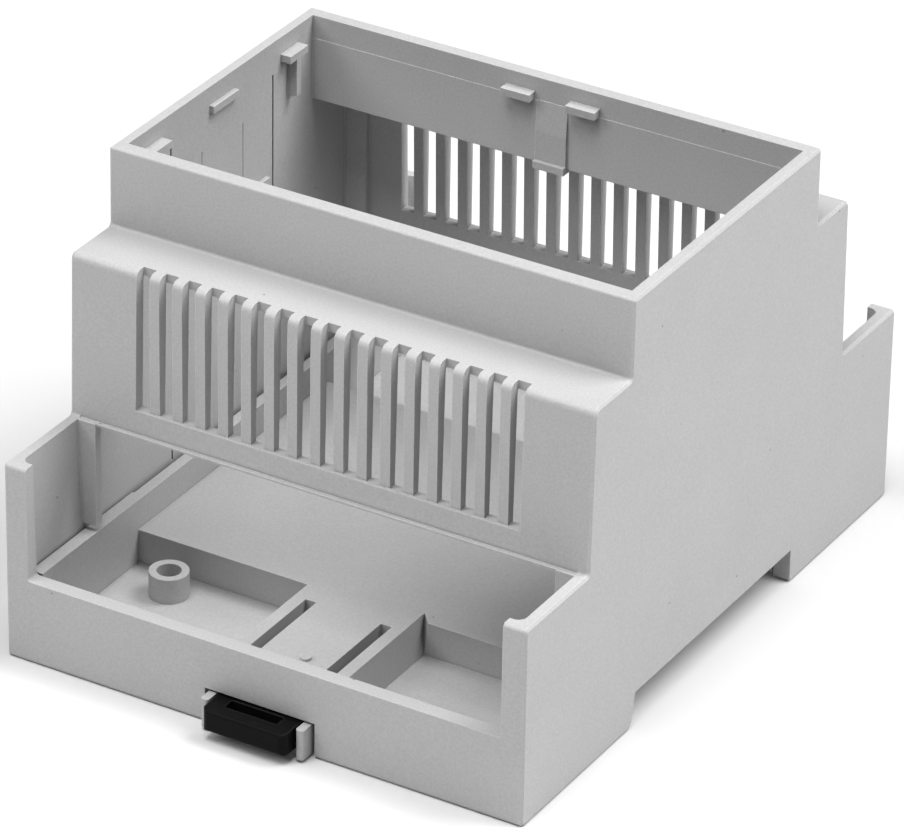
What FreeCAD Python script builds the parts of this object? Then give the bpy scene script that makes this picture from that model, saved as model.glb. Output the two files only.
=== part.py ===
"""Open enclosure for a circuit board, four modules wide, that clips on a 35 mm mounting rail.

Three mouldings: the housing, the tray that closes it from below, and the sliding rail clip.
Frame: X runs along the rail, Y across it away from the clip's handle, Z away from the rail.
The origin is the middle of the face that lies on the rail. The sizes below, in millimetres, are
counted from the corner of the footprint at the clip's end, and every piece is moved at the end.
"""
import FreeCAD
import Part
import math
import os

V = FreeCAD.Vector

# Whole enclosure
width = 71.0
length = 90.0
height = 58.1

# Raised block and collar, as seen from the side
bay_height = 26.4
shoulder_height = 47.8
block_front = 14.1
block_length = 62.2
block_lean = 0.55
collar_front = 22.9
collar_length = 45.0
collar_lean = 0.1
shoulder_plate = 1.0

# Walls
wall = 1.5
skirt_draft = 0.8
collar_wall = 2.0
floor_wall = 1.8

# Rounding and easing of the outer edges
edge_chamfer = 0.3
corner_radius = 0.6
rim_radius = 0.35
step_radius = 0.4
ceiling_radius = 0.5
shoulder_radius = 1.0
inside_radius = 1.2

# Low end walls and the posts beside them
end_wall_height = 11.2
post_width = 3.1
sill_radius = 0.4
foot_radius = 0.5

# Short groove in the side walls over the tray's rim
mark_place = 33.0
mark_width = 0.3
mark_depth = 0.4
mark_foot = 11.3
mark_top = 13.6

# Pilasters in the corners of the block
pilaster_width = 2.5
pilaster_depth = 1.25
pilaster_proud = 0.75
pilaster_foot = 12.4
return_width = 3.1
return_depth = 1.2

# Sill along the lower edge of the block's end walls
sill_reach = 0.55
sill_thickness = 0.3

# Vent slots
slot_count = 17
slot_width = 1.8
slot_pitch = 3.168
slot_sill = 29.45
fin_front = 14.55
slot_overrun = 0.1

# Rim of the collar, its ledges and its latch tongues
rebate_depth = 3.1
rebate_step = 0.04
ledge_length = 4.0
ledge_reach = 1.4
ledge_thickness = 1.0
ledge_drop = 1.95
ledge_pair_spacing = 9.0
side_ledge_inset = 5.3
side_ledge_drop = 2.35
bar_length = 5.6
bar_reach = 0.6
bar_drop = 2.55
side_rib_inset = 7.8
side_rib_width = 0.8
side_rib_height = 5.9
side_rib_slope = 0.5
tongue_width = 4.3
tongue_foot = 46.2
tongue_proud = 0.35
tongue_fade = 4.0
tongue_catch = 0.8
tongue_catch_height = 1.0
guide_groove = 0.35
guide_inset = 11.3
guide_foot = 38.0
guide_drop = 4.4
seam_width = 0.15
seam_inset = 18.0
seam_top = 50.1
seam_foot = 42.7
catch_inset = 14.4
catch_length = 1.9
catch_reach = 0.5
catch_top = 40.5

# Recess for the mounting rail
rail_width = 35.0
rail_play = 0.15
rail_height = 4.6
rail_front = 26.1
rail_back = 64.65
rail_lead = 0.9
rail_lead_radius = 1.5
hook_reach = 1.35
hook_foot = 0.9
hook_height = 3.35
hook_lead = 1.3
hook_radius = 0.3
hook_inset = 1.0

# Tray
tray_clearance = 0.2
tray_relief = 0.3
relief_start = 23.9
rim_top = 11.4
rim_width = 1.65
floor_top = 2.6
deck_top = 7.2
pocket_front = 22.75
pocket_back = 66.25
end_board = 1.5
lug_length = 7.0
lug_reach = 0.3
lug_foot = 7.6
lug_height = 1.8
lug_flat = 0.7
lug_share = 0.33
lug_clearance = 0.12

# Screw boss
boss_radius = 2.47
boss_bore = 1.53
boss_height = 3.4
boss_x = 11.0
boss_y = 18.4
boss_draft = 0.04

# Ejector pads
pad_height = 0.25
pad_large = 2.4
pad_side = 7.0
pad_middle = 44.1
pip_radius = 0.65
pip_height = 0.4
pip_front = 8.2
pip_offset = 1.25

# Channel of the clip
clip_width = 11.4
clip_clearance = 0.3
channel_wall = 1.6
channel_draft = 1.1
channel_slot = 1.5
channel_slot_back = 19.75
ear_reach = 1.8
ear_thickness = 1.05
ear_radius = 0.4
ear_toe = 0.35
notch_clearance = 0.5
lip_height = 0.95
lip_foot = 0.2
corner_relief = 1.9
corner_relief_side = 1.6

# Clip
clip_bottom = 1.45
clip_top = 4.4
handle_reach = 3.75
handle_rounding = 0.45
handle_corner = 0.9
nose_bite = 1.5
nose_top = 3.3
nose_ramp = 1.5
nose_rise = 1.05
nose_radius = 0.25
nose_step = 0.5
bar_margin = 0.8
key_slot_length = 7.2
key_slot_width = 1.7
key_slot_depth = 2.0
key_slot_offset = 1.1
key_slot_radius = 0.3
clip_travel = 4.5
arm_root = 4.6
arm_tip = 18.0
arm_width = 1.2
arm_slit = 0.75
barb_length = 1.4
barb_reach = 0.75
barb_bottom = 2.2
barb_top = 3.7
barb_clearance = 0.3

# Places that follow from the sizes above
centre = width / 2
block_back = block_front + block_length
collar_back = collar_front + collar_length
channel_half = clip_width / 2 + clip_clearance
rail_edge = rail_back - rail_play - rail_width
nose_tip = rail_edge + nose_bite
seat_middle = V(centre, rail_edge + rail_width / 2, rail_height)

# How far cutting shapes run past a face, and joined shapes into their neighbour
past = 2.0
bite = 0.5
overlap = 0.01


def box(x0, x1, y0, y1, z0, z1):
    """A box between two corners."""
    return Part.makeBox(x1 - x0, y1 - y0, z1 - z0, V(x0, y0, z0))


def disc(x, y, radius, z0, z1):
    """An upright cylinder."""
    return Part.makeCylinder(radius, z1 - z0, V(x, y, z0), V(0, 0, 1))


def rectangle(x0, x1, y0, y1, z):
    """The four corners of a level rectangle."""
    return [V(x0, y0, z), V(x1, y0, z), V(x1, y1, z), V(x0, y1, z)]


def polyhedron(rings):
    """A convex solid from the corner rings of its flat faces, each turned to face outwards."""
    corners = [corner for ring in rings for corner in ring]
    middle = V(0, 0, 0)
    for corner in corners:
        middle += corner / len(corners)
    faces = []
    for ring in rings:
        normal = (ring[1] - ring[0]).cross(ring[2] - ring[0])
        if normal.dot(ring[0] - middle) < 0:
            ring = ring[::-1]
        faces.append(Part.Face(Part.makePolygon(ring + ring[:1])))
    shell = Part.Shell(faces)
    shell.sewShape()
    return Part.Solid(shell)


def prismoid(lower, upper):
    """A solid with flat sides between two outlines that have as many corners."""
    rings = [lower, upper]
    for i in range(len(lower)):
        j = (i + 1) % len(lower)
        rings.append([lower[i], lower[j], upper[j], upper[i]])
    return polyhedron(rings)


def frustum(inset, z0, z1):
    """A block whose four sides stand inset(z) inside the footprint."""
    rings = []
    for z in (z0, z1):
        d = inset(z)
        rings.append(rectangle(d, width - d, d, length - d, z))
    return prismoid(rings[0], rings[1])


def rounded_wire(corners):
    """A closed wire through (point, radius) corners, with an arc at each corner that has one."""
    edges = []
    stops = []
    count = len(corners)
    for i, (point, radius) in enumerate(corners):
        before = corners[i - 1][0] - point
        after = corners[(i + 1) % count][0] - point
        if radius <= 0:
            stops.append((point, point, None))
            continue
        before.normalize()
        after.normalize()
        half = before.getAngle(after) / 2
        cut = radius / math.tan(half)
        middle = before + after
        middle.normalize()
        hub = point + middle * (radius / math.sin(half))
        stops.append((point + before * cut, point + after * cut, hub - middle * radius))
    for i, (start, end, top) in enumerate(stops):
        if top is not None:
            edges.append(Part.Arc(start, top, end).toShape())
        following = stops[(i + 1) % count][0]
        if (following - end).Length > 1e-6:
            edges.append(Part.makeLine(end, following))
    return Part.Wire(edges)


def side_profile(corners, x0, x1):
    """A solid with a side outline of (y, z, radius) corners, run along X."""
    wire = rounded_wire([(V(x0, y, z), r) for y, z, r in corners])
    return Part.Face(wire).extrude(V(x1 - x0, 0, 0))


def plan_profile(corners, z0, z1):
    """A solid with a plan outline of (x, y, radius) corners, run up from z0."""
    wire = rounded_wire([(V(x, y, z0), r) for x, y, r in corners])
    return Part.Face(wire).extrude(V(0, 0, z1 - z0))


def rounded_frustum(inset, z0, z1, radius):
    """The same block with its four upright edges rounded."""
    block = frustum(inset, z0, z1)
    upright = []
    for edge in block.Edges:
        if abs(edge.Vertexes[0].Z - edge.Vertexes[-1].Z) > (z1 - z0) / 2:
            upright.append(edge)
    return block.makeFillet(radius, upright)


def fuse(shapes):
    """One solid from several that meet."""
    return shapes[0].multiFuse(shapes[1:]).removeSplitter()


def mirror_ends(shape):
    """The shape's twin at the other end of the length."""
    return shape.mirror(V(0, length / 2, 0), V(0, 1, 0))


def mirror_sides(shape):
    """The shape's twin at the other side of the width."""
    return shape.mirror(V(centre, 0, 0), V(1, 0, 0))


def turn_about_middle(shape):
    """The shape's twin in the diagonally opposite corner."""
    twin = shape.copy()
    twin.rotate(V(centre, length / 2, 0), V(0, 0, 1), 180)
    return twin


def wall_thickness(z):
    """Thickness of the outer wall below the bays' top: the moulding's draft thickens it downwards."""
    return wall + skirt_draft * (1 - z / bay_height)


def block_face(z):
    """How far the leaning end wall of the block stands in from its foot."""
    return block_lean * (z - bay_height) / (shoulder_height - bay_height)


def rail_recess():
    """The space for the rail, with a rounded lead-in at the clip's side."""
    front = rail_front - rail_lead
    outline = [
        (front - past * 2, -past, 0),
        (front - past * 2, 0, 0),
        (front, 0, rail_lead_radius),
        (rail_front, rail_height, 0),
        (rail_back, rail_height, 0),
        (rail_back, 0, foot_radius),
        (rail_back + past * 2, 0, 0),
        (rail_back + past * 2, -past, 0),
    ]
    return side_profile(outline, -past, width + past)


# Housing


def housing_outline():
    """The outside of the housing, from the side."""
    return [
        (0, 0, foot_radius),
        (length, 0, foot_radius),
        (length, bay_height, corner_radius),
        (block_back, bay_height, step_radius),
        (block_back - block_lean, shoulder_height, shoulder_radius),
        (collar_back, shoulder_height, step_radius),
        (collar_back - collar_lean, height, rim_radius),
        (collar_front + collar_lean, height, rim_radius),
        (collar_front, shoulder_height, step_radius),
        (block_front + block_lean, shoulder_height, shoulder_radius),
        (block_front, bay_height, step_radius),
        (0, bay_height, corner_radius),
    ]


def housing_outside():
    """The outer form with its side edges eased."""
    body = side_profile(housing_outline(), 0, width)
    rim = []
    for edge in body.Edges:
        at_side = all(abs(v.X) < 1e-6 or abs(v.X - width) < 1e-6 for v in edge.Vertexes)
        along = abs(edge.Vertexes[0].X - edge.Vertexes[-1].X) > 1e-6
        if at_side and not along:
            rim.append(edge)
    return body.makeChamfer(edge_chamfer, rim)


def lower_hollow():
    """The drafted space between the outer walls, open below and over the bays."""
    hollow = rounded_frustum(wall_thickness, 0, bay_height, inside_radius)
    front = box(wall, width - wall, wall, block_front, bay_height - overlap, bay_height + past)
    back = box(wall, width - wall, block_back, length - wall, bay_height - overlap, bay_height + past)
    return [hollow, front, back]


def upper_hollow():
    """The space inside the block and up through the collar."""
    ceiling = shoulder_height - shoulder_plate
    inner_front = block_front + wall
    inner_back = block_back - wall
    outline = [
        (inner_front, bay_height - overlap, 0),
        (inner_back, bay_height - overlap, 0),
        (inner_back - block_face(ceiling), ceiling, ceiling_radius),
        (collar_back - collar_wall, ceiling, 0),
        (collar_back - collar_wall, height + past, 0),
        (collar_front + collar_wall, height + past, 0),
        (collar_front + collar_wall, ceiling, 0),
        (inner_front + block_face(ceiling), ceiling, ceiling_radius),
    ]
    return side_profile(outline, wall, width - wall)


def end_cutout():
    """The wide gap between the posts, above the low end wall."""
    x0 = post_width
    x1 = width - post_width
    top = bay_height + past
    wire = rounded_wire([
        (V(x0, -past, end_wall_height), sill_radius),
        (V(x1, -past, end_wall_height), sill_radius),
        (V(x1, -past, top), 0),
        (V(x0, -past, top), 0),
    ])
    return Part.Face(wire).extrude(V(0, past + wall_thickness(0), 0))


def pilaster():
    """A corner return that stiffens the block and hangs down beside the bay."""
    front = block_front - pilaster_proud
    low = box(
        wall / 2, wall + pilaster_width, front, front + pilaster_depth, pilaster_foot, bay_height)
    high = box(
        wall / 2, wall + return_width, block_front + wall / 2, block_front + wall + return_depth,
        bay_height - shoulder_plate, shoulder_height - shoulder_plate / 2)
    web = box(
        wall / 2, wall + pilaster_width, front + pilaster_depth / 2, block_front + wall + return_depth,
        bay_height - shoulder_plate, bay_height)
    return fuse([low, high, web])


def block_sill():
    """The thin sill along the lower edge of the block's end wall, level with the bays' top."""
    return box(
        wall / 2, width - wall / 2, block_front - sill_reach, block_front + wall / 2,
        bay_height - sill_thickness, bay_height)


def slot_places():
    """The middle of each vent slot."""
    first = centre - slot_pitch * (slot_count - 1) / 2
    return [first + i * slot_pitch for i in range(slot_count)]


def vent_slot(x):
    """One slot, from the block's front through its wall."""
    half = slot_width / 2
    back = block_front + wall + block_lean + slot_overrun
    return box(x - half, x + half, block_front - past, back, slot_sill, shoulder_height + past)


def vent_cutter():
    """All slots of one end, with the upright plane that the fins' fronts lie in."""
    places = slot_places()
    half = slot_width / 2
    cutters = [vent_slot(x) for x in places]
    cutters.append(box(
        places[0] - half, places[-1] + half, block_front - past, fin_front,
        slot_sill, shoulder_height + past))
    return cutters


def clip_notch():
    """The opening in the low end wall for the clip and the tray's ears."""
    half = channel_half + ear_thickness + notch_clearance
    return box(centre - half, centre + half, -past, wall_thickness(0) + bite, -past, clip_top + clip_clearance)


def end_ledges():
    """The pair of ledges inside the collar's end wall that hold the cover."""
    y0 = collar_front + collar_wall
    top = height - ledge_drop
    pair = []
    for side in (-1, 1):
        x = centre + side * ledge_pair_spacing / 2
        pair.append(box(
            x - ledge_length / 2, x + ledge_length / 2, y0 - collar_wall / 2, y0 + ledge_reach,
            top - ledge_thickness, top))
    return pair


def latch_tongue():
    """The raised tongue below the ledges, which fades out upwards, with its catch at the foot."""
    face = collar_front + collar_wall
    half = tongue_width / 2
    top = height - ledge_drop - ledge_thickness
    outline = [
        (face - collar_wall / 2, tongue_foot, 0),
        (face + tongue_catch, tongue_foot, 0),
        (face + tongue_catch, tongue_foot + tongue_catch_height, 0),
        (face + tongue_proud, tongue_foot + tongue_catch_height, 0),
        (face + tongue_proud, top - tongue_fade, 0),
        (face, top, 0),
        (face - collar_wall / 2, top, 0),
    ]
    return side_profile(outline, centre - half, centre + half)


def side_ledge():
    """A corner ledge inside the collar's side wall."""
    y = collar_back - side_ledge_inset - ledge_length
    top = height - side_ledge_drop
    return box(
        wall / 2, wall + ledge_reach, y, y + ledge_length, top - ledge_thickness, top)


def side_rib():
    """The rib that carries a corner ledge, with a sloped foot."""
    y = collar_back - side_rib_inset
    top = height - side_ledge_drop - ledge_thickness / 2
    foot = top - side_rib_height
    wire = rounded_wire([
        (V(wall / 2, y, top), 0),
        (V(wall + ledge_reach, y, top), 0),
        (V(wall + ledge_reach, y, foot + side_rib_slope), 0),
        (V(wall, y, foot), 0),
        (V(wall / 2, y, foot), 0),
    ])
    return Part.Face(wire).extrude(V(0, side_rib_width, 0))


def side_bar():
    """The short bar midway along the collar's side wall."""
    middle = (collar_front + collar_back) / 2
    top = height - bar_drop
    return box(
        wall / 2, wall + bar_reach, middle - bar_length / 2, middle + bar_length / 2,
        top - ledge_thickness, top)


def guide_slot():
    """An upright groove in the side wall that guides the board's edge."""
    y = collar_back - guide_inset
    return box(
        wall - guide_groove, wall + bite, y, y + guide_groove, guide_foot, height - guide_drop)


def board_seam():
    """The fine upright seam that the mould's slide leaves beside the guide groove."""
    y = collar_back - seam_inset
    return box(wall - seam_width, wall + bite, y, y + seam_width, seam_foot, seam_top)


def board_catch():
    """The small catch for the board's edge between the seam and the groove."""
    y = collar_back - catch_inset
    return box(
        wall / 2, wall + catch_reach, y, y + catch_length, catch_top - ledge_thickness, catch_top)


def side_mark():
    """The short upright groove over the tray's rim."""
    y = mark_place
    inner = wall_thickness(end_wall_height)
    return box(inner - mark_depth, inner + bite, y, y + mark_width, mark_foot, mark_top)


def collar_rebate():
    """The hairline step across the inside of the end walls, where the cover's edge comes."""
    front = collar_front + collar_wall - rebate_step
    back = collar_back - collar_wall + rebate_step
    return box(wall, width - wall, front, back, height - rebate_depth, height + past)


def click_lugs(extra):
    """The tray's click lugs, or with some extra size the seats that they click into."""
    seats = []
    inner = wall_thickness(lug_foot)
    reach = tray_clearance + lug_reach + extra
    for share in (lug_share, 1 - lug_share):
        y = length * share - lug_length / 2
        wire = rounded_wire([
            (V(inner + tray_clearance + bite, y - extra, lug_foot - extra), 0),
            (V(inner + tray_clearance - reach, y - extra, lug_foot - extra), 0),
            (V(inner + tray_clearance - reach, y - extra, lug_foot + lug_flat + extra), 0),
            (V(inner + tray_clearance + bite, y - extra, lug_foot + lug_height + extra), 0),
        ])
        seats.append(Part.Face(wire).extrude(V(0, lug_length + 2 * extra, 0)))
    return seats + [mirror_sides(s) for s in seats]


def about_collar(shape):
    """The shape's twin at the collar's other end."""
    return shape.mirror(V(0, (collar_front + collar_back) / 2, 0), V(0, 1, 0))


def about_block(shape):
    """The shape's twin at the block's other end."""
    return shape.mirror(V(0, (block_front + block_back) / 2, 0), V(0, 1, 0))


def housing():
    """The one-piece housing."""
    body = housing_outside().cut(lower_hollow() + [upper_hollow()])
    body = body.cut([end_cutout(), mirror_ends(end_cutout())])
    posts = [pilaster()]
    posts.append(mirror_sides(posts[0]))
    posts.append(block_sill())
    posts += [about_block(p) for p in posts]
    body = body.cut([collar_rebate()])
    vents = vent_cutter()
    body = body.cut(vents + [about_block(v) for v in vents])
    cuts = [clip_notch()] + click_lugs(lug_clearance)
    corner = [guide_slot(), board_seam(), side_mark()]
    corner += [about_collar(s) for s in corner]
    corner += [mirror_sides(s) for s in corner]
    body = body.cut([rail_recess()] + cuts + corner)
    ends = end_ledges() + [latch_tongue()]
    ends += [about_collar(s) for s in ends]
    sides = [side_ledge(), side_rib(), board_catch()]
    sides += [about_collar(s) for s in sides]
    sides.append(side_bar())
    sides += [mirror_sides(s) for s in sides]
    return fuse([body] + posts + ends + sides)


# Tray


def tray_inset(z):
    """How far the tray's side stands inside the footprint."""
    return wall_thickness(z) + tray_clearance


def tray_block():
    """The tray before its hollows: rims, deck and foot, with the sides drafted like the housing."""
    corner = inside_radius - tray_clearance
    return rounded_frustum(tray_inset, floor_top - floor_wall, rim_top, corner)


def deck_hollow():
    """The space between the rims, over the deck."""
    side = rim_inner()
    return box(side, width - side, -past, length + past, deck_top, rim_top + past)


def rim_inner():
    """Distance of the rim's inner face from the side of the footprint."""
    return tray_inset(rim_top) + rim_width


def end_pocket(x0, x1, slope0, slope1, y0, y1):
    """A pocket beside the clip's channel, whose walls can slope in towards the floor."""
    lower = rectangle(x0 + slope0, x1 - slope1, y0, y1, floor_top)
    upper = rectangle(x0, x1, y0, y1, deck_top)
    return prismoid(lower, upper)


def pockets():
    """The pockets at both ends."""
    side = rim_inner()
    inner = channel_half + channel_wall
    front = end_board + tray_inset(deck_top)
    left = end_pocket(side, centre - inner, 0, channel_draft, front, pocket_front)
    right = mirror_sides(left)
    back = end_pocket(side, width - side, 0, 0, pocket_back, length - front)
    return [left, right, relief_corner(), back]


def relief_corner():
    """The small relief that runs out into the right pocket's inner corner."""
    x = centre + channel_half + channel_wall
    corner = V(x, pocket_front, deck_top)
    right = V(x + corner_relief_side, pocket_front, deck_top)
    behind = V(x, pocket_front + corner_relief, deck_top)
    foot = V(x + channel_draft, pocket_front, floor_top)
    return polyhedron([
        [corner, right, behind], [corner, right, foot], [right, behind, foot], [behind, corner, foot]])


def rail_hook():
    """The fixed hook that holds the rail's far edge, with its lead-in slope."""
    inset = tray_inset(hook_foot)
    outline = [
        (rail_back + bite, hook_foot, 0),
        (rail_back - hook_reach / 3, hook_foot, 0),
        (rail_back - hook_reach, hook_foot + hook_lead, hook_radius),
        (rail_back - hook_reach, hook_height, hook_radius),
        (rail_back + bite, hook_height, 0),
    ]
    return side_profile(outline, inset + hook_inset, width - inset - hook_inset)


def relief_cuts():
    """The stretch where the rim stands further off the housing's wall."""
    y1 = collar_front + collar_back - relief_start
    rings = []
    for z in (deck_top, rim_top):
        rings.append(rectangle(-past, tray_inset(z) + tray_relief, relief_start, y1, z))
    side = prismoid(rings[0], rings[1])
    return [side, mirror_sides(side)]


def channel_cut():
    """The clip's way under the deck."""
    return box(
        centre - channel_half, centre + channel_half, -past, rail_front + past,
        -past, clip_top + clip_clearance)


def channel_walls():
    """The channel's side walls below the tray's floor, run out to the front as ears."""
    inset = tray_inset(0)
    walls = []
    for side in (-1, 1):
        near = centre + side * channel_half
        far = near + side * ear_thickness
        foot = box(
            min(near, far), max(near, far), inset, rail_front - rail_lead, lip_foot, floor_top)
        outline = [
            (min(near, far), -ear_reach, ear_radius),
            (max(near, far), -ear_reach, ear_radius),
            (max(near, far), inset + end_board, 0),
            (min(near, far), inset + end_board, 0),
        ]
        ear = plan_profile(outline, lip_foot, clip_top)
        toe = [e for e in ear.Edges if lowest_front(e)]
        ear = ear.makeFillet(ear_toe, toe)
        walls += [foot, ear]
    return walls


def lowest_front(edge):
    """Whether an edge is the straight bottom edge of an ear's nose."""
    flat = all(abs(v.Z - lip_foot) < 1e-6 and abs(v.Y + ear_reach) < 1e-6 for v in edge.Vertexes)
    return flat and len(edge.Vertexes) == 2


def channel_lips():
    """The ledges that the clip's edges slide on."""
    inset = tray_inset(0)
    lips = []
    for side in (-1, 1):
        near = centre + side * (channel_half - channel_slot)
        far = centre + side * (channel_half + bite)
        lips.append(box(
            min(near, far), max(near, far), inset, channel_slot_back, lip_foot, lip_foot + lip_height))
    return lips


def channel_slots():
    """The two slots in the deck over the lips, which the mould's cores leave."""
    slots = []
    for side in (-1, 1):
        near = centre + side * (channel_half - channel_slot)
        far = centre + side * channel_half
        slots.append(box(
            min(near, far), max(near, far), end_board + tray_inset(deck_top), channel_slot_back,
            clip_top, deck_top + past))
    return slots


def barb_grooves():
    """The grooves in the channel's walls that the clip's barbs run in and stop against."""
    y0 = arm_tip - barb_length - clip_travel - barb_clearance
    y1 = arm_tip + barb_clearance
    deep = channel_half - clip_clearance + barb_reach + barb_clearance
    grooves = []
    for side in (-1, 1):
        near = centre + side * (channel_half - bite)
        far = centre + side * deep
        grooves.append(box(
            min(near, far), max(near, far), y0, y1,
            barb_bottom - barb_clearance, barb_top + barb_clearance))
    return grooves


def boss():
    """The boss for the board's screw, slightly tapered."""
    return Part.makeCone(
        boss_radius + boss_draft, boss_radius, boss_height + bite,
        V(boss_x, boss_y, floor_top - bite), V(0, 0, 1))


def boss_hole():
    """The blind hole in the boss."""
    top = floor_top + boss_height
    return disc(boss_x, boss_y, boss_bore, floor_top - floor_wall / 2, top + past)


def ejector_pads():
    """The round pads that the mould's ejector pins leave on the deck, and the pip at the clip's end."""
    side_pad = disc(pad_side, pad_middle, pad_large, deck_top - bite, deck_top + pad_height)
    return [
        disc(centre + pip_offset, pip_front, pip_radius, deck_top - bite, deck_top + pip_height),
        side_pad,
        mirror_sides(side_pad),
    ]


def tray():
    """The tray that closes the housing from below."""
    body = tray_block().cut([deck_hollow(), rail_recess()] + relief_cuts() + pockets())
    bosses = [boss(), turn_about_middle(boss())]
    body = fuse([body, rail_hook()] + bosses + channel_walls() + ejector_pads() + click_lugs(0))
    body = body.cut([channel_cut(), boss_hole(), turn_about_middle(boss_hole())])
    body = body.cut(channel_slots() + barb_grooves())
    return fuse([body] + channel_lips())


# Clip


def clip_outline():
    """The clip from the side: handle, flat bar and the nose that goes under the rail."""
    bar_end = rail_front - rail_lead - bar_margin
    return [
        (-handle_reach, clip_bottom, handle_rounding),
        (nose_tip - nose_ramp, clip_bottom, nose_radius),
        (nose_tip, clip_bottom + nose_rise, nose_radius),
        (nose_tip, nose_top, nose_radius),
        (bar_end + nose_step, nose_top, nose_radius),
        (bar_end, clip_top, nose_radius),
        (-handle_reach, clip_top, handle_rounding),
    ]


def clip_plan():
    """The clip from above, with the handle's rounded corners."""
    half = clip_width / 2
    outline = [
        (centre - half, -handle_reach, handle_corner),
        (centre + half, -handle_reach, handle_corner),
        (centre + half, nose_tip, 0),
        (centre - half, nose_tip, 0),
    ]
    return plan_profile(outline, clip_bottom - past, clip_top + past)


def clip():
    """The sliding clip with its two barbed arms."""
    half = clip_width / 2
    body = side_profile(clip_outline(), centre - half, centre + half).common(clip_plan())
    cuts = [key_slot()]
    for side in (-1, 1):
        near = centre + side * (half - arm_width)
        far = near - side * arm_slit
        cuts.append(box(
            min(near, far), max(near, far), arm_root, arm_tip + arm_slit, -past, clip_top + past))
        edge = centre + side * (half + past)
        cuts.append(box(
            min(near, edge), max(near, edge), arm_tip, arm_tip + arm_slit, -past, clip_top + past))
    body = body.cut(cuts)
    return fuse([body] + [barb(side) for side in (-1, 1)])


def key_slot():
    """The slot in the handle's top for a screwdriver's tip."""
    y = -key_slot_offset
    half = key_slot_length / 2
    outline = [
        (centre - half, y - key_slot_width / 2, key_slot_radius),
        (centre + half, y - key_slot_width / 2, key_slot_radius),
        (centre + half, y + key_slot_width / 2, key_slot_radius),
        (centre - half, y + key_slot_width / 2, key_slot_radius),
    ]
    return plan_profile(outline, clip_top - key_slot_depth, clip_top + past)


def barb(side):
    """The barb at the end of an arm: a slope to click in and a square back to stop on."""
    half = clip_width / 2
    face = centre + side * half
    tip = face + side * barb_reach
    root = face - side * bite
    points = [
        V(root, arm_tip - barb_length, barb_bottom),
        V(face, arm_tip - barb_length, barb_bottom),
        V(tip, arm_tip - barb_length, barb_bottom),
        V(tip, arm_tip - barb_length / 2, barb_bottom),
        V(face, arm_tip, barb_bottom),
        V(root, arm_tip, barb_bottom),
    ]
    wire = Part.makePolygon(points + points[:1])
    return Part.Face(wire).extrude(V(0, 0, barb_top - barb_bottom))


def write(name, shape):
    """Moves a piece into the rail seat's frame and writes its file."""
    placed = shape.copy()
    placed.translate(-seat_middle)
    solid = placed.Solids[0] if len(placed.Solids) == 1 else placed
    print(name, "solids", len(placed.Solids), "valid", placed.isValid(), "faces", len(placed.Faces),
          "volume %.1f" % placed.Volume)
    solid.exportStep(os.path.join("parts", name + ".step"))


os.makedirs("parts", exist_ok=True)
write("housing", housing())
write("base_tray", tray())
write("rail_clip", clip())
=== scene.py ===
"""Looks of the open rail enclosure: three mouldings, a pale floor and soft studio light.

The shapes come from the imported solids. This file gives them their plastics, and sets up the floor,
the light and the camera at the photograph's angle.
"""
import logging
import math
from dataclasses import dataclass, field
from enum import Enum
from typing import Any

import bpy
from mathutils import Matrix, Vector


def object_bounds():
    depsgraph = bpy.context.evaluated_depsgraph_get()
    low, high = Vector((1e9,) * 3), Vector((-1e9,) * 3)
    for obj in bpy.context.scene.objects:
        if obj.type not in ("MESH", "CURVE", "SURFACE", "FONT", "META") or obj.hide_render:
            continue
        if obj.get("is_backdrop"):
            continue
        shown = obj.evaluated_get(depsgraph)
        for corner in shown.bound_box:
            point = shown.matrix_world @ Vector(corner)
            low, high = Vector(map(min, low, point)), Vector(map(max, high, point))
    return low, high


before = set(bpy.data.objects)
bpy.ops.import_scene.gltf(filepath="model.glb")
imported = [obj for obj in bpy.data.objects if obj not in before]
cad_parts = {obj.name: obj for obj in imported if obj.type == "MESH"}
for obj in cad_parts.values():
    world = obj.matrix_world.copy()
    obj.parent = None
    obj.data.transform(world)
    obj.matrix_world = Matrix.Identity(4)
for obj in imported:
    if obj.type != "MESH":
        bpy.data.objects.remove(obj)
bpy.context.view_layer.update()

log = logging.getLogger("enclosure")

MM = 0.001

# The values between which nearly all of a noise texture lies.
NOISE_LOW, NOISE_HIGH = 0.3, 0.7

# An edge gets its painted highlight and its lower roughness out to this many times its radius, from
# where the eased normal starts to leave the face's own (the cosine between them) to where both are
# full.
EDGE_REACH, EDGE_STARTS, EDGE_FULL = 1.5, 0.995, 0.80

# Painted shade in the corners starts where the surroundings let this share of the light in, is
# darkest at the second share, and covers the colour by the third there.
SHADE_STARTS, SHADE_FULL, SHADE_COVER = 0.75, 0.15, 0.7

# A speck is darkest out to this share of its radius, and covers the colour by the second share
# there.
SPECK_CORE, SPECK_COVER = 0.4, 0.7

# The sheen's patches, as a share of the cloud's size, and how far the roughness swings in them.
PATCH_SHARE, PATCH_SWING = 0.4, 0.05

# How strongly the grain bends the light.
GRAIN_STRENGTH = 0.5

# Rays per point for the eased edges and for the painted shade in the corners.
EDGE_RAYS, SHADE_RAYS = 6, 6


class Slot(Enum):
    """The record's material slots."""

    GREY = "grey_abs"
    BLACK = "black_polyamide"


def linear(code: str) -> tuple[float, float, float, float]:
    """Turns an sRGB hex colour into linear values.

    Args:
        code: six hex digits, such as "c9cacb".

    Returns:
        Linear red, green and blue, and an alpha of one.
    """
    parts = []
    for i in (0, 2, 4):
        value = int(code[i:i + 2], 16) / 255
        parts.append(value / 12.92 if value <= 0.04045 else ((value + 0.055) / 1.055) ** 2.4)
    return parts[0], parts[1], parts[2], 1.0


def per_metre(size_mm: float) -> float:
    """The pattern scale that repeats about once in a given length.

    Args:
        size_mm: the length, in millimetres.

    Returns:
        The scale, in repeats per metre.
    """
    return 1.0 / (size_mm * MM)


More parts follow.
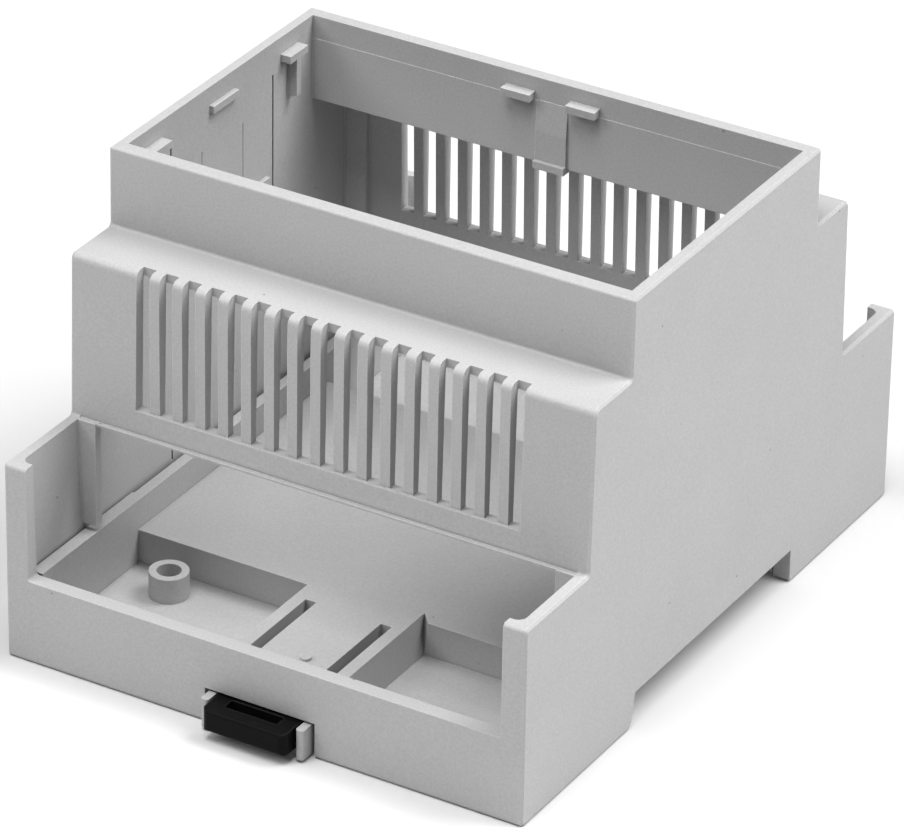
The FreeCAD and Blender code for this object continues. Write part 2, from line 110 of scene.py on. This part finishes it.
def add(tree: bpy.types.NodeTree, kind: str, settings: dict[str, Any] | None = None,
        links: dict[str | int, bpy.types.NodeSocket] | None = None) -> bpy.types.Node:
    """Adds one node.

    Args:
        tree: the node tree that it goes into.
        kind: the node's type name.
        settings: values by property name, or by input name or number.
        links: the sockets that feed its inputs, by input name or number.

    Returns:
        The new node.
    """
    node = tree.nodes.new(kind)
    for name, value in (settings or {}).items():
        if isinstance(name, str) and hasattr(node, name):
            setattr(node, name, value)
        else:
            node.inputs[name].default_value = value
    for name, socket in (links or {}).items():
        tree.links.new(socket, node.inputs[name])
    return node


@dataclass(frozen=True)
class MouldedPlastic:
    """An injection moulding with a spark-eroded surface.

    Attributes:
        name: the material's name.
        colour: the moulding's colour.
        edge_highlight_colour: painted highlight: the paler colour laid along the eased edges.
        cloud_colour: the colour that the melt's slow variation leans to.
        corner_shade_colour: painted shade: the darker colour laid in inner corners.
        ior: index of refraction.
        roughness: roughness of the flat faces.
        edge_roughness: roughness of the polished edges.
        grain_mm: size of the spark-eroded grain.
        grain_depth_mm: height of the grain.
        cloud_mm: size of the slow variation.
        edge_mm: radius that the edges show.
        corner_shade_mm: reach of the painted shade into a corner.
        speckle: how far the grain's light and dark points lie from the mean, as a share.
        mirror: the level of the mirror reflection; a deep grain swallows part of it.
        speck_colour: the colour of the sparse specks.
        speck_mm: size of a speck.
        speck_gap_mm: mean distance of the specks' seeds inside the moulding.
    """

    name: str
    colour: str
    edge_highlight_colour: str
    cloud_colour: str
    corner_shade_colour: str
    ior: float
    roughness: float
    edge_roughness: float
    grain_mm: float
    grain_depth_mm: float
    cloud_mm: float
    edge_mm: float
    corner_shade_mm: float
    speckle: float
    mirror: float
    speck_colour: str
    speck_mm: float
    speck_gap_mm: float

    def make(self) -> bpy.types.Material:
        """Builds the material.

        Returns:
            The material, ready for a piece's slots.
        """
        material = bpy.data.materials.new(self.name)
        material.use_nodes = True
        tree = material.node_tree
        tree.nodes.clear()
        place = add(tree, "ShaderNodeTexCoord").outputs["Object"]
        edge = self.edge_share(tree)
        colour = self.colouring(tree, place, edge)
        shader = add(tree, "ShaderNodeBsdfPrincipled", {
            "IOR": self.ior, "Specular IOR Level": self.mirror}, {
            "Base Color": colour,
            "Roughness": self.sheen(tree, place, edge),
            "Normal": self.grain(tree, place),
        })
        add(tree, "ShaderNodeOutputMaterial", links={"Surface": shader.outputs["BSDF"]})
        return material

    def edge_share(self, tree: bpy.types.NodeTree) -> bpy.types.NodeSocket:
        """How far a point lies on an eased edge.

        Args:
            tree: the material's nodes.

        Returns:
            A value that is 0 on flat faces and 1 on the edge itself.
        """
        eased = add(tree, "ShaderNodeBevel", {
            "samples": EDGE_RAYS, "Radius": self.edge_mm * MM * EDGE_REACH})
        flat = add(tree, "ShaderNodeNewGeometry")
        match = add(tree, "ShaderNodeVectorMath", {"operation": "DOT_PRODUCT"}, {
            0: eased.outputs["Normal"], 1: flat.outputs["Normal"]})
        share = add(tree, "ShaderNodeMapRange", {
            "From Min": EDGE_STARTS, "From Max": EDGE_FULL, "To Min": 0.0, "To Max": 1.0}, {
            "Value": match.outputs["Value"]})
        return share.outputs["Result"]

    def colouring(self, tree: bpy.types.NodeTree, place: bpy.types.NodeSocket,
                  edge: bpy.types.NodeSocket) -> bpy.types.NodeSocket:
        """The colour: slow clouds, fine speckle, painted shade in the corners, painted highlights on
        the edges and sparse specks.

        Args:
            tree: the material's nodes.
            place: the point on the piece.
            edge: the share of eased edge.

        Returns:
            The colour socket.
        """
        cloud = add(tree, "ShaderNodeTexNoise", {
            "Scale": per_metre(self.cloud_mm), "Detail": 3.0, "Roughness": 0.55}, {"Vector": place})
        lean = add(tree, "ShaderNodeMapRange", {
            "From Min": NOISE_LOW, "From Max": NOISE_HIGH, "To Min": 0.0, "To Max": 1.0}, {
            "Value": cloud.outputs[0]})
        body = add(tree, "ShaderNodeMix", {
            "data_type": "RGBA", 6: linear(self.colour), 7: linear(self.cloud_colour)}, {
            0: lean.outputs["Result"]})
        # Painted shade: the colour darkens in inner corners, where the ambient occlusion finds the
        # surroundings closed in.
        hollow = add(tree, "ShaderNodeAmbientOcclusion", {
            "samples": SHADE_RAYS, "Distance": self.corner_shade_mm * MM})
        shade_share = add(tree, "ShaderNodeMapRange", {
            "From Min": SHADE_STARTS, "From Max": SHADE_FULL, "To Min": 0.0, "To Max": SHADE_COVER}, {
            "Value": hollow.outputs["AO"]})
        shaded = add(tree, "ShaderNodeMix", {"data_type": "RGBA", 7: linear(self.corner_shade_colour)}, {
            0: shade_share.outputs["Result"], 6: body.outputs[2]})
        # Painted highlight: the eased edges are lightened to a paler colour.
        highlighted = add(tree, "ShaderNodeMix", {"data_type": "RGBA", 7: linear(self.edge_highlight_colour)}, {
            0: edge, 6: shaded.outputs[2]})
        points = add(tree, "ShaderNodeTexNoise", {
            "Scale": per_metre(self.grain_mm), "Detail": 1.0}, {"Vector": place})
        level = add(tree, "ShaderNodeMapRange", {
            "From Min": NOISE_LOW, "From Max": NOISE_HIGH,
            "To Min": 1 - self.speckle, "To Max": 1 + self.speckle}, {
            "Value": points.outputs[0]})
        speckled = add(tree, "ShaderNodeVectorMath", {"operation": "SCALE"}, {
            0: highlighted.outputs[2], "Scale": level.outputs["Result"]})
        seeds = add(tree, "ShaderNodeTexVoronoi", {
            "Scale": per_metre(self.speck_gap_mm)}, {"Vector": place})
        reach = self.speck_mm / 2 / self.speck_gap_mm
        marked = add(tree, "ShaderNodeMapRange", {
            "From Min": reach, "From Max": reach * SPECK_CORE,
            "To Min": 0.0, "To Max": SPECK_COVER}, {
            "Value": seeds.outputs["Distance"]})
        specked = add(tree, "ShaderNodeMix", {"data_type": "RGBA", 7: linear(self.speck_colour)}, {
            0: marked.outputs["Result"], 6: speckled.outputs[0]})
        return specked.outputs[2]

    def sheen(self, tree: bpy.types.NodeTree, place: bpy.types.NodeSocket,
              edge: bpy.types.NodeSocket) -> bpy.types.NodeSocket:
        """The roughness: even on the faces, in slow patches, and lower on the polished edges.

        Args:
            tree: the material's nodes.
            place: the point on the piece.
            edge: the share of eased edge.

        Returns:
            The roughness socket.
        """
        patch = add(tree, "ShaderNodeTexNoise", {
            "Scale": per_metre(self.cloud_mm * PATCH_SHARE), "Detail": 2.0}, {"Vector": place})
        flat = add(tree, "ShaderNodeMapRange", {
            "To Min": self.roughness - PATCH_SWING, "To Max": self.roughness + PATCH_SWING}, {
            "Value": patch.outputs[0]})
        both = add(tree, "ShaderNodeMix", {"data_type": "FLOAT", 3: self.edge_roughness}, {
            0: edge, 2: flat.outputs["Result"]})
        return both.outputs[0]

    def grain(self, tree: bpy.types.NodeTree, place: bpy.types.NodeSocket) -> bpy.types.NodeSocket:
        """The spark-eroded grain, over edges that are eased by the mould's own radius.

        Args:
            tree: the material's nodes.
            place: the point on the piece.

        Returns:
            The normal socket.
        """
        fine = add(tree, "ShaderNodeTexNoise", {
            "Scale": per_metre(self.grain_mm), "Detail": 2.0, "Roughness": 0.6}, {"Vector": place})
        eased = add(tree, "ShaderNodeBevel", {"samples": EDGE_RAYS, "Radius": self.edge_mm * MM})
        bump = add(tree, "ShaderNodeBump", {
            "Strength": GRAIN_STRENGTH, "Distance": self.grain_depth_mm * MM}, {
            "Height": fine.outputs[0], "Normal": eased.outputs["Normal"]})
        return bump.outputs["Normal"]


# Light grey ABS, moulded in a spark-eroded tool: an even, dry grey that shows fine speckle close
# up, a painted highlight along its edges, painted shade in its inner corners and a few dark specks
# of dirt.
GREY_ABS = MouldedPlastic(
    name="moulded_grey_abs", colour="adadad", cloud_colour="aaaaaa", edge_highlight_colour="cbcbcb",
    corner_shade_colour="62605d", ior=1.53, roughness=0.55, edge_roughness=0.42, grain_mm=0.3,
    grain_depth_mm=0.03, cloud_mm=14.0, edge_mm=0.11, corner_shade_mm=0.9, speckle=0.06, mirror=0.5,
    speck_colour="3c3a38", speck_mm=0.38, speck_gap_mm=5.5)

# Black polyamide, moulded: a deep matt black whose grain catches a dull grey sheen, with a painted
# grey highlight along its edges, painted shade in its corners and a few specks of pale dust.
BLACK_POLYAMIDE = MouldedPlastic(
    name="moulded_black_polyamide", colour="0a0a0b", cloud_colour="0e0e0f", edge_highlight_colour="2c2c2d",
    corner_shade_colour="070707", ior=1.53, roughness=0.5, edge_roughness=0.38, grain_mm=0.25,
    grain_depth_mm=0.02, cloud_mm=6.0, edge_mm=0.2, corner_shade_mm=0.8, speckle=0.12, mirror=0.06,
    speck_colour="3a3835", speck_mm=0.25, speck_gap_mm=3.5)


FINISHES: dict[Slot, MouldedPlastic] = {Slot.GREY: GREY_ABS, Slot.BLACK: BLACK_POLYAMIDE}


@dataclass
class Moulding:
    """One moulded piece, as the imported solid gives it.

    Attributes:
        node: the solid's name.
        slot: the slot that its plastic belongs to.
    """

    node: str
    slot: Slot

    def dress(self, material: bpy.types.Material) -> bpy.types.Object:
        """Gives the solid its plastic.

        Args:
            material: the plastic of its slot.

        Returns:
            The solid's object.
        """
        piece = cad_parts[self.node]
        for held in piece.material_slots:
            held.material = material
        return piece


@dataclass
class Enclosure:
    """The housing, the tray that closes it from below, and the sliding clip.

    Attributes:
        mouldings: the three pieces with their plastics.
    """

    mouldings: list[Moulding] = field(default_factory=lambda: [
        Moulding("housing", Slot.GREY),
        Moulding("base_tray", Slot.GREY),
        Moulding("rail_clip", Slot.BLACK),
    ])

    def dress(self) -> None:
        """Dresses every piece and reports it."""
        plastics = {slot: finish.make() for slot, finish in FINISHES.items()}
        for moulding in self.mouldings:
            piece = moulding.dress(plastics[moulding.slot])
            log.info("%s dressed in %s", piece.name, moulding.slot.value)


@dataclass
class Softbox:
    """One square soft lamp.

    Attributes:
        name: the lamp's name.
        place: its place, in metres.
        power: its power, in watts.
        side: the length of its side, in metres.
    """

    name: str
    place: Vector
    power: float
    side: float = 0.55

    def hang(self, target: Vector) -> None:
        """Hangs the lamp and turns it to a point.

        Args:
            target: the point that it shines on.
        """
        lamp = bpy.data.lights.new(self.name, "AREA")
        lamp.shape = "SQUARE"
        lamp.size = self.side
        lamp.energy = self.power
        holder = bpy.data.objects.new(self.name, lamp)
        holder.location = self.place
        holder.rotation_euler = (target - self.place).to_track_quat("-Z", "Y").to_euler()
        bpy.context.collection.objects.link(holder)
        log.info("lamp %s hung", self.name)


@dataclass
class Studio:
    """Pale floor, soft sky and softboxes.

    Attributes:
        floor_half: half the side of the floor, in metres.
        floor_gap: how far the floor lies under the lowest point, in metres.
        sky: strength of the even light.
        floor_colour: the paper's colour.
        floor_glow: how much light the lit paper adds by itself.
        fibre_mm: size of the paper's fibre.
        fibre_depth_mm: height of the fibre.
        softboxes: the lamps: the key high behind on the right, and fills from the front left,
            the right and above.
    """

    floor_half: float = 3.0
    floor_gap: float = 0.00002
    sky: float = 0.03
    floor_colour: str = "cfcfcf"
    floor_glow: float = 0.03
    fibre_mm: float = 0.8
    fibre_depth_mm: float = 0.03
    softboxes: list[Softbox] = field(default_factory=lambda: [
        Softbox("key_softbox", Vector((0.520, 0.300, 1.061)), 12.4),
        Softbox("front_left_softbox", Vector((-0.650, -0.650, 0.793)), 5.7),
        Softbox("right_softbox", Vector((0.968, 0.171, 0.710)), 4.7),
        Softbox("top_softbox", Vector((0.000, -0.360, 1.160)), 11.0),
    ])

    def build(self) -> None:
        """Builds the floor, the sky and the lamps."""
        low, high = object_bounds()
        self.lay_floor(low.z - self.floor_gap)
        self.light_sky()
        for softbox in self.softboxes:
            softbox.hang((low + high) / 2)

    def lay_floor(self, z: float) -> None:
        """Lays the seamless paper.

        Args:
            z: height of the paper's face, in metres.
        """
        half = self.floor_half
        corners = [(-half, -half, z), (half, -half, z), (half, half, z), (-half, half, z)]
        mesh = bpy.data.meshes.new("paper_floor")
        mesh.from_pydata(corners, [], [(0, 1, 2, 3)])
        floor = bpy.data.objects.new("paper_floor", mesh)
        bpy.context.collection.objects.link(floor)
        mesh.materials.append(self.paper())
        floor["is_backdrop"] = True
        log.info("floor laid")

    def paper(self) -> bpy.types.Material:
        """Uncoated white paper: flat and even, with a fibre that only shows close up.

        Returns:
            The material.
        """
        material = bpy.data.materials.new("uncoated_paper")
        material.use_nodes = True
        tree = material.node_tree
        tree.nodes.clear()
        place = add(tree, "ShaderNodeTexCoord").outputs["Object"]
        fibre = add(tree, "ShaderNodeTexNoise", {
            "Scale": per_metre(self.fibre_mm), "Detail": 3.0}, {"Vector": place})
        bump = add(tree, "ShaderNodeBump", {
            "Strength": 0.1, "Distance": self.fibre_depth_mm * MM}, {"Height": fibre.outputs[0]})
        shader = add(tree, "ShaderNodeBsdfPrincipled", {
            "Base Color": linear(self.floor_colour), "Roughness": 0.9, "IOR": 1.45,
            "Emission Color": linear("ffffff"), "Emission Strength": self.floor_glow}, {
            "Normal": bump.outputs["Normal"]})
        add(tree, "ShaderNodeOutputMaterial", links={"Surface": shader.outputs["BSDF"]})
        return material

    def light_sky(self) -> None:
        """Sets the even light that comes from all sides."""
        world = bpy.data.worlds.new("studio_sky")
        bpy.context.scene.world = world
        world.use_nodes = True
        tree = world.node_tree
        tree.nodes.clear()
        glow = add(tree, "ShaderNodeBackground", {"Color": linear("ffffff"), "Strength": self.sky})
        add(tree, "ShaderNodeOutputWorld", links={"Surface": glow.outputs["Background"]})


@dataclass
class PhotoCamera:
    """The camera at the photograph's angle.

    Attributes:
        place: where it stands, in metres.
        aim: a point that it looks at, in metres.
        roll_deg: its turn about the line of sight.
        lens_mm: its focal length.
        sensor_mm: the width of its sensor.
        nearest: the nearest distance that it sees, in metres.
        farthest: the farthest distance that it sees, in metres.
    """

    place: Vector = field(default_factory=lambda: Vector((0.33747, -0.58040, 0.39531)))
    aim: Vector = field(default_factory=lambda: Vector((-0.005191, 0.005085, 0.012421)))
    roll_deg: float = 0.981
    lens_mm: float = 254.42
    sensor_mm: float = 36.0
    nearest: float = 0.01
    farthest: float = 20.0

    def set_up(self) -> None:
        """Sets the camera up as the scene's own."""
        data = bpy.data.cameras.new("photo_camera")
        data.sensor_width = self.sensor_mm
        data.sensor_fit = "HORIZONTAL"
        data.lens = self.lens_mm
        data.clip_start = self.nearest
        data.clip_end = self.farthest
        camera = bpy.data.objects.new("photo_camera", data)
        look = (self.aim - self.place).to_track_quat("-Z", "Y").to_matrix()
        turned = look @ Matrix.Rotation(math.radians(self.roll_deg), 3, "Z")
        camera.matrix_world = Matrix.Translation(self.place) @ turned.to_4x4()
        bpy.context.collection.objects.link(camera)
        bpy.context.scene.camera = camera
        log.info("camera set up")


def main() -> None:
    """Dresses the enclosure and sets up the studio."""
    logging.basicConfig(level=logging.INFO, format="%(name)s: %(message)s")
    bpy.context.scene.view_settings.view_transform = "Standard"
    bpy.context.scene.view_settings.look = "None"
    Enclosure().dress()
    Studio().build()
    PhotoCamera().set_up()


if __name__ == "__main__":
    main()
